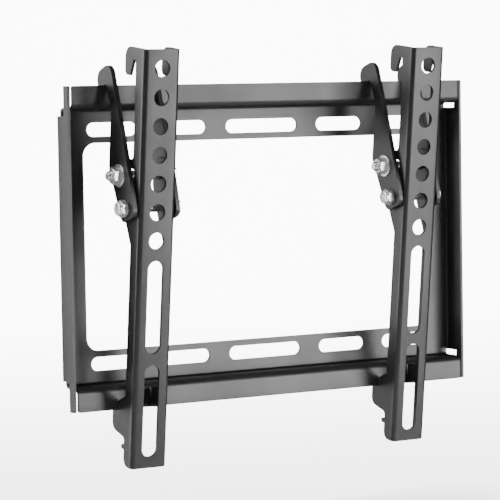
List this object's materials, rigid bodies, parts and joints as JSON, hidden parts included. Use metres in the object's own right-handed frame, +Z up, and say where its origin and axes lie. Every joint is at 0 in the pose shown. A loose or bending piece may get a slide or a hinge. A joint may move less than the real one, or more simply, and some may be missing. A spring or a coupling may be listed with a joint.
{
  "type": "tv wall mount",
  "caption": "Tilting screen mount: a folded wall plate with a window and slotted rows carries hooked arms on swinging links, each with a lock bolt.",
  "frame": {"origin": "centre of the wall slot pattern, on the plane of the plate's back, which lies on the wall", "axes": "+X to the right along the rails, +Y into the wall, +Z up"},
  "size_m": [0.25, 0.0548, 0.2223],
  "materials": {
    "powder_coat": "satin powder coat",
    "zinc": "bright zinc plate",
    "nylon": "plain"
  },
  "bodies": {
    "wall_plate": {"wall_plate": "powder_coat"},
    "left_links": {"left_link_left": "powder_coat", "left_link_right": "powder_coat", "left_pivot_bolt": "zinc", "left_pivot_nut": "zinc", "left_pivot_spacers": "nylon", "left_lock_bolt": "zinc", "left_lock_nut": "zinc", "left_lock_washers": "zinc", "left_friction_washers": "nylon"},
    "left_arm": {"left_bracket": "powder_coat"},
    "right_links": {"right_link_left": "powder_coat", "right_link_right": "powder_coat", "right_pivot_bolt": "zinc", "right_pivot_nut": "zinc", "right_pivot_spacers": "nylon", "right_lock_bolt": "zinc", "right_lock_nut": "zinc", "right_lock_washers": "zinc", "right_friction_washers": "nylon"},
    "right_arm": {"right_bracket": "powder_coat"}
  },
  "joints": [
    {"name": "left_link_swing", "type": "hinge", "parent": "wall_plate", "child": "left_links", "pos_m": [-0.0889, -0.01425, 0.086], "axis": [1, 0, 0], "range_deg": [0, 10.95]},
    {"name": "left_bracket_tilt", "type": "hinge", "parent": "left_links", "child": "left_arm", "pos_m": [-0.0889, -0.03522, 0.02184], "axis": [1, 0, 0], "range_deg": [-17.55, 0]},
    {"name": "right_link_swing", "type": "hinge", "parent": "wall_plate", "child": "right_links", "pos_m": [0.0761, -0.01425, 0.086], "axis": [1, 0, 0], "range_deg": [0, 10.95]},
    {"name": "right_bracket_tilt", "type": "hinge", "parent": "right_links", "child": "right_arm", "pos_m": [0.0761, -0.03522, 0.02184], "axis": [1, 0, 0], "range_deg": [-17.55, 0]}
  ],
  "couplings": [
    {"joint": "left_bracket_tilt", "follows": "left_link_swing", "ratio": -1.6022},
    {"joint": "right_bracket_tilt", "follows": "right_link_swing", "ratio": -1.6022}
  ]
}
